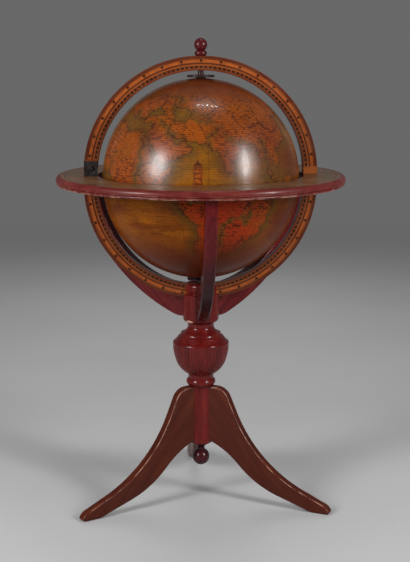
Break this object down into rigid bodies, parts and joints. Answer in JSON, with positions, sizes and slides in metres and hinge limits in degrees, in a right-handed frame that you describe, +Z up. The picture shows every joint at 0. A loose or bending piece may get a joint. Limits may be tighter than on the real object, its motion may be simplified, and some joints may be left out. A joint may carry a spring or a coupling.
{
  "type": "globe bar",
  "caption": "Free-standing globe bar: a hollow two-part globe in a meridian and horizon ring on a turned, three-legged wood stand; the lid half swings open to a bottle and glass tray.",
  "frame": {"origin": "on the floor, at the axis of the column", "axes": "+Z up along the column, -Y towards the front arm, -X towards the hinge"},
  "size_m": [0.5879, 0.588, 0.9553],
  "materials": {
    "lacquered_wood": "gloss maroon lacquer on turned wood",
    "leg_wood": "satin reddish brown stain, worn at the edges",
    "plain_wood": "bare",
    "tray_wood": "satin stain",
    "dial_wood": "dark lacquer",
    "printed_globe": "printed antique map under gloss varnish",
    "printed_scale": "printed degree scale under varnish",
    "printed_chart": "printed chart under varnish",
    "black_steel": "black",
    "zinc_steel": "zinc plated",
    "brass_bush": "turned",
    "brass_screws": "countersunk, satin",
    "felt": "pressed felt"
  },
  "bodies": {
    "stand": {"leg_left": "leg_wood", "leg_right": "leg_wood", "leg_rear": "leg_wood", "leg_dowels": "plain_wood", "base_post": "lacquered_wood", "drop_finial": "lacquered_wood", "vase": "lacquered_wood", "tie_rod": "zinc_steel", "tie_nuts": "zinc_steel", "tie_washers": "zinc_steel", "hub": "lacquered_wood", "arm_front": "lacquered_wood", "arm_left": "lacquered_wood", "arm_right": "lacquered_wood", "arm_dowels": "plain_wood", "ring_dowels": "plain_wood", "horizon_ring": "lacquered_wood", "horizon_chart": "printed_chart", "meridian_lower": "lacquered_wood", "meridian_dowels": "plain_wood", "scale_lower_front": "printed_scale", "scale_lower_rear": "printed_scale", "hinge_bracket_front": "black_steel", "hinge_bracket_rear": "black_steel", "hinge_screws": "zinc_steel", "hinge_pin": "black_steel", "lower_spindle": "zinc_steel", "lower_spacer": "dial_wood", "lower_dial": "dial_wood", "lower_felt": "felt", "lower_washer": "zinc_steel", "lower_nut": "zinc_steel"},
    "lid": {"meridian_upper": "lacquered_wood", "scale_upper_front": "printed_scale", "scale_upper_rear": "printed_scale", "hinge_bush": "brass_bush", "top_finial": "lacquered_wood", "upper_spindle": "zinc_steel", "upper_spacer": "dial_wood", "upper_dial": "dial_wood", "upper_felt": "felt", "upper_washer": "zinc_steel", "upper_nut": "zinc_steel"},
    "upper_globe": {"upper_hemisphere": "printed_globe", "upper_rim_hoop": "plain_wood", "upper_pole_block": "plain_wood"},
    "lower_globe": {"lower_hemisphere": "printed_globe", "lower_rim_hoop": "plain_wood", "lower_pole_block": "plain_wood", "bar_tray": "tray_wood", "glass_rings": "tray_wood", "bottle_shelf": "tray_wood", "tray_posts": "tray_wood", "tray_screws": "brass_screws"}
  },
  "joints": [
    {"name": "lid_hinge", "type": "hinge", "parent": "stand", "child": "lid", "pos_m": [-0.22301, 0, 0.697], "axis": [0, -1, 0], "range_deg": [0, 90]},
    {"name": "upper_globe_spin", "type": "hinge", "parent": "lid", "child": "upper_globe", "pos_m": [0, 0, 0.86], "axis": [0, 0, 1], "continuous": true},
    {"name": "lower_globe_spin", "type": "hinge", "parent": "stand", "child": "lower_globe", "pos_m": [0, 0, 0.48], "axis": [0, 0, 1], "continuous": true}
  ]
}
